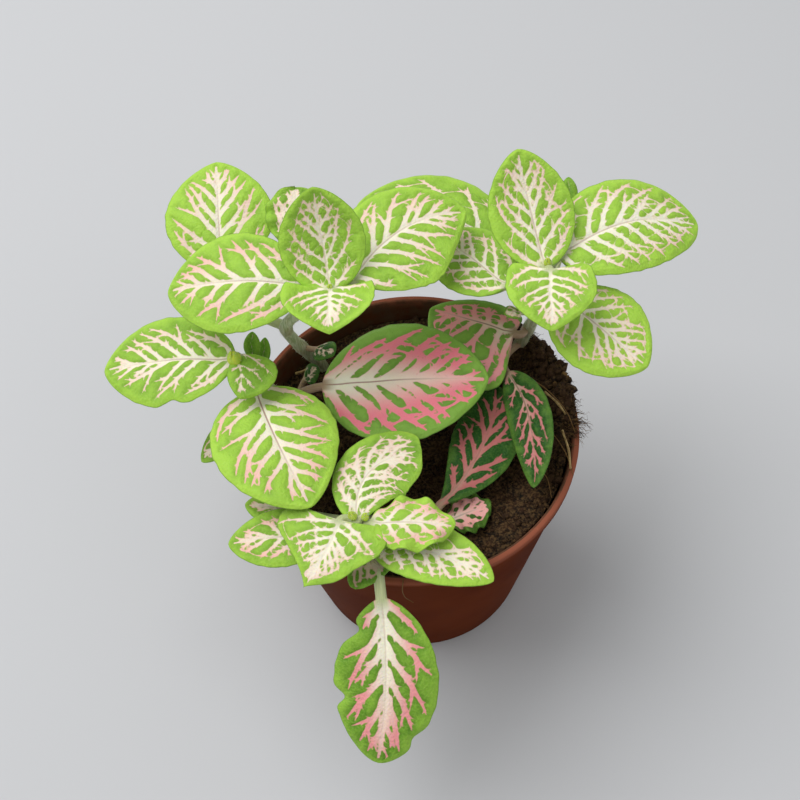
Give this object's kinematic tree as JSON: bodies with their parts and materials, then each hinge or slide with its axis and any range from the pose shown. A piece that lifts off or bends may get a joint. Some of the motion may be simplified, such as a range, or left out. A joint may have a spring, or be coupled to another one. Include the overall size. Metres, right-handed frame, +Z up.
{
  "type": "potted nerve plant",
  "caption": "Bushy nerve plant in a small tapered nursery pot of peat: oval net-veined leaves on short petioles, up branching stems and hanging over the rim.",
  "frame": {"origin": "centre of the flat underside of the pot, on the surface that it stands on", "axes": "+Z up along the pot's axis; -Y is the front, over which one leaf hangs; +X is to the right seen from the front"},
  "size_m": [0.1024, 0.0964, 0.0931],
  "materials": {
    "pot_plastic": "satin",
    "peat": "matte",
    "stem": "satin",
    "lime_leaf": "satin",
    "dark_leaf": "satin",
    "bud": "satin",
    "straw": "matte"
  },
  "bodies": {
    "root": {"pot": "pot_plastic", "soil": "peat", "back_bud": "bud", "back_leaf_front": "lime_leaf", "back_leaf_left": "lime_leaf", "back_leaf_rear": "lime_leaf", "back_leaf_right": "lime_leaf", "back_leaf_upright": "lime_leaf", "back_leaf_young": "lime_leaf", "back_stem": "stem", "front_bud_1": "bud", "front_bud_2": "bud", "front_leaf_behind": "lime_leaf", "front_leaf_crumpled": "lime_leaf", "front_leaf_left": "lime_leaf", "front_leaf_outer": "lime_leaf", "front_leaf_right": "lime_leaf", "front_leaf_under": "lime_leaf", "front_leaf_upright": "lime_leaf", "front_stem": "stem", "hanging_leaf": "lime_leaf", "left_bud": "bud", "left_leaf_broad": "lime_leaf", "left_leaf_outer": "lime_leaf", "left_leaf_small": "lime_leaf", "left_leaf_under": "lime_leaf", "left_leaflet_1": "lime_leaf", "left_leaflet_2": "lime_leaf", "left_stem": "stem", "pink_leaf_broad": "dark_leaf", "pink_leaf_crumpled": "dark_leaf", "pink_leaf_low": "dark_leaf", "pink_leaf_narrow": "dark_leaf", "pink_leaf_rear": "dark_leaf", "right_bud": "bud", "right_leaf_front": "lime_leaf", "right_leaf_inner": "lime_leaf", "right_leaf_lower": "lime_leaf", "right_leaf_outer": "lime_leaf", "right_leaf_rear": "lime_leaf", "right_leaf_upright": "lime_leaf", "right_leaflet_curled": "lime_leaf", "right_leaflet_rear": "lime_leaf", "right_stem": "stem", "shade_leaf_back": "dark_leaf", "shade_leaf_left": "dark_leaf", "short_stem": "stem", "straw_front": "straw", "straw_left": "straw", "straw_right": "straw"}
  },
  "joints": []
}
